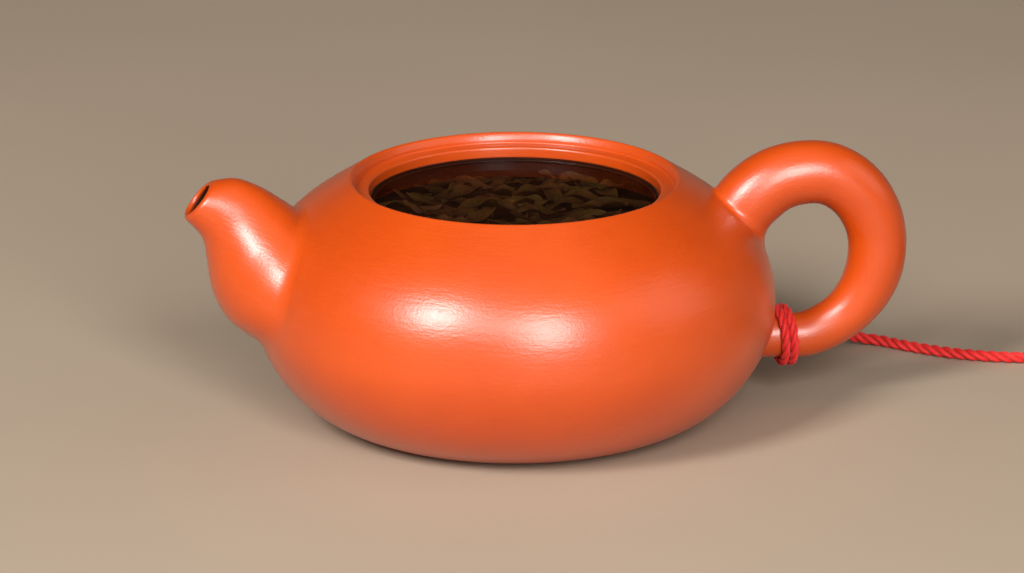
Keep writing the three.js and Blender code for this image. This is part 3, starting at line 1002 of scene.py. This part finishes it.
def tea():
    """The flat surface, its edge that climbs the clay, and the dark tea below."""
    radius = MOUTH_RADIUS - 0.00005
    reach = np.linspace(0.0005, radius - MENISCUS_WIDTH, 30)
    tea_piece("tea_surface", [(r, TEA_HEIGHT) for r in reach[::-1]], TEA)
    reach = np.linspace(radius - MENISCUS_WIDTH, radius, 24)
    level = math.exp(-MENISCUS_WIDTH / MENISCUS_FALL)
    climb = TEA_HEIGHT + MENISCUS_HEIGHT * (np.exp((reach - radius) / MENISCUS_FALL) - level)
    tea_piece("tea_edge", [*zip(reach[::-1], climb[::-1])], TEA_EDGE, 80)
    reach = np.linspace(0.0005, radius - 0.0001, 12)
    deep = [(r, TEA_HEIGHT - DEEP_TEA_BOTTOM) for r in reach[::-1]]
    tea_piece("deep_tea", [(reach[-1], TEA_HEIGHT - DEEP_TEA_TOP), *deep], DEEP_TEA)


def leaf(random, place, heading, length, width, curl, fold, tilt):
    """One brewed leaf: a pointed, folded strip. Returns its rings and their grain."""
    t = np.linspace(0, 1, 18)
    half = width / 2 * np.sin(math.pi * np.clip(t, 0.02, 0.99)) ** 0.75 * (1 - 0.25 * t)
    bend = heading + curl * (t - 0.5)
    step = length / len(t)
    line = np.cumsum(np.stack([np.cos(bend), np.sin(bend), 0 * bend], axis=1) * step, axis=0)
    line += np.array(place) - line.mean(axis=0)
    line[:, 2] += 0.0006 * np.sin(t * random.uniform(2, 6) + random.uniform(0, 6)) + tilt * length * (t - 0.5)
    side = np.stack([-np.sin(bend), np.cos(bend), 0 * bend], axis=1)
    u = np.concatenate([np.linspace(-1, 1, 7), np.linspace(1, -1, 7)])
    thick = np.concatenate([np.full(7, -0.5), np.full(7, 0.5)]) * LEAF_THICKNESS * (1.02 - np.abs(u))
    sag = fold * np.abs(u)
    rings = line[:, None, :] + side[:, None, :] * (half[:, None] * u)[..., None]
    rings[..., 2] += half[:, None] * sag + thick
    ripple = 0.0003 * np.sin(t * random.uniform(9, 16) + random.uniform(0, 6))
    rings[..., 2] += ripple[:, None] * u
    rings[..., 2] -= max(0, rings[..., 2].max() - (TEA_HEIGHT - LEAF_COVER))
    along, across = np.repeat(t, len(u)), np.tile(np.abs(u), len(t))
    grain = np.stack([along * 16, across * 6 - along * 6, 0 * along], axis=1)
    return rings, grain


def leaves():
    """The brewed leaves, heaped just under the tea's surface."""
    random = np.random.default_rng(7)
    vertices, faces, grain = [], [], []
    for k in range(LEAF_COUNT):
        angle = k * LEAF_TURN
        reach = LEAF_SPREAD * math.sqrt((k + 0.5) / LEAF_COUNT)
        deep = 0.0006 + 0.0020 * random.random()
        place = (reach * math.cos(angle), reach * math.sin(angle), TEA_HEIGHT - deep)
        heading = random.uniform(-1.3, 0.5) + (math.pi / 2 if k % 4 == 0 else 0)
        length = random.uniform(0.007, 0.013)
        width = length * random.uniform(0.26, 0.44)
        curl = random.uniform(-1.4, 1.4)
        fold = random.uniform(-0.9, 0.9)
        tilt = random.uniform(-0.2, 0.2)
        rings, its_grain = leaf(random, place, heading, length, width, curl, fold, tilt)
        v, f = skin(rings, caps=True)
        faces += [tuple(i + len(vertices) for i in face) for face in f]
        vertices += v
        grain += [*its_grain, its_grain[0], its_grain[-1]]
    new_object("tea_leaves", vertices, faces, "pot", LEAF, (), grain, sharp=60)


def strainer():
    """The CAD strainer stays, in the raw clay of the pot's inside."""
    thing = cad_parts["spout_strainer"]
    thing.data.materials.clear()
    thing.data.materials.append(RAW_CLAY)


pot_body()
pot_base()
pot_mouth()
spout()
handle()
strainer()
lid()
tea()
leaves()


# ---- the studio -----------------------------------------------------------------------------

POT_MIDDLE = 0.025  # the height that the lights aim at
FLOOR_REACH = 12


def softbox(name, azimuth, elevation, distance, size, power):
    """An area light aimed at the pot. Azimuth 0 is on the camera's side (-Y), 90 at +X."""
    a, e = math.radians(azimuth), math.radians(elevation)
    towards = np.array([math.sin(a) * math.cos(e), -math.cos(a) * math.cos(e), math.sin(e)])
    data = bpy.data.lights.new(name, "AREA")
    data.shape = "RECTANGLE"
    data.size, data.size_y = size
    data.energy = power
    lamp = bpy.data.objects.new(name, data)
    lamp.location = towards * distance + np.array([0, 0, POT_MIDDLE])
    lamp.rotation_euler = (math.pi / 2 - e, 0, a)
    lamp.visible_camera = False
    bpy.context.collection.objects.link(lamp)


def floor():
    """A plain pale floor, a little uneven in tone."""
    material, tree, shader = principled("pale_floor", Roughness=0.7)
    place = add(tree, "ShaderNodeTexCoord").outputs["Object"]
    tone = spread(tree, noise(tree, place, 6, 3), 0.3, 0.7)
    shade = mixed(tree, tone, (0.345, 0.265, 0.19), (0.375, 0.29, 0.21))
    tree.links.new(shade, shader.inputs["Base Color"])
    far = FLOOR_REACH
    mesh = bpy.data.meshes.new("floor")
    mesh.from_pydata([(-far, -far, 0), (far, -far, 0), (far, far, 0), (-far, far, 0)], [], [(0, 1, 2, 3)])
    mesh.materials.append(material)
    thing = bpy.data.objects.new("floor", mesh)
    thing.location.z = -0.00005
    bpy.context.collection.objects.link(thing)


def lights():
    """Two windows with their glow between them, a broad fill and a weak overhead light."""
    softbox("window_left", -46, 36, 1.2, (0.30, 0.44), 15.4)
    softbox("window_right", 8, 26, 1.3, (0.36, 0.64), 15.4)
    softbox("between_windows", -18, 32, 1.25, (0.50, 0.40), 3.0)
    softbox("fill_right", 70, 30, 1.4, (0.9, 0.9), 2.4)
    softbox("overhead", 20, 80, 1.5, (1.2, 1.2), 1.2)


def surroundings():
    """A warm glow near the horizon, and a darker room above it."""
    world = bpy.data.worlds.new("world")
    world.use_nodes = True
    tree = world.node_tree
    split = add(tree, "ShaderNodeSeparateXYZ")
    tree.links.new(add(tree, "ShaderNodeTexCoord").outputs["Generated"], split.inputs[0])
    rise = spread(tree, split.outputs["Z"], 0.10, 0.28)
    shade = mixed(tree, rise, (0.30, 0.23, 0.17), (0.045, 0.036, 0.028))
    tree.links.new(shade, tree.nodes["Background"].inputs["Color"])
    bpy.context.scene.world = world
    bpy.context.scene.view_settings.view_transform = "Standard"


floor()
lights()
surroundings()
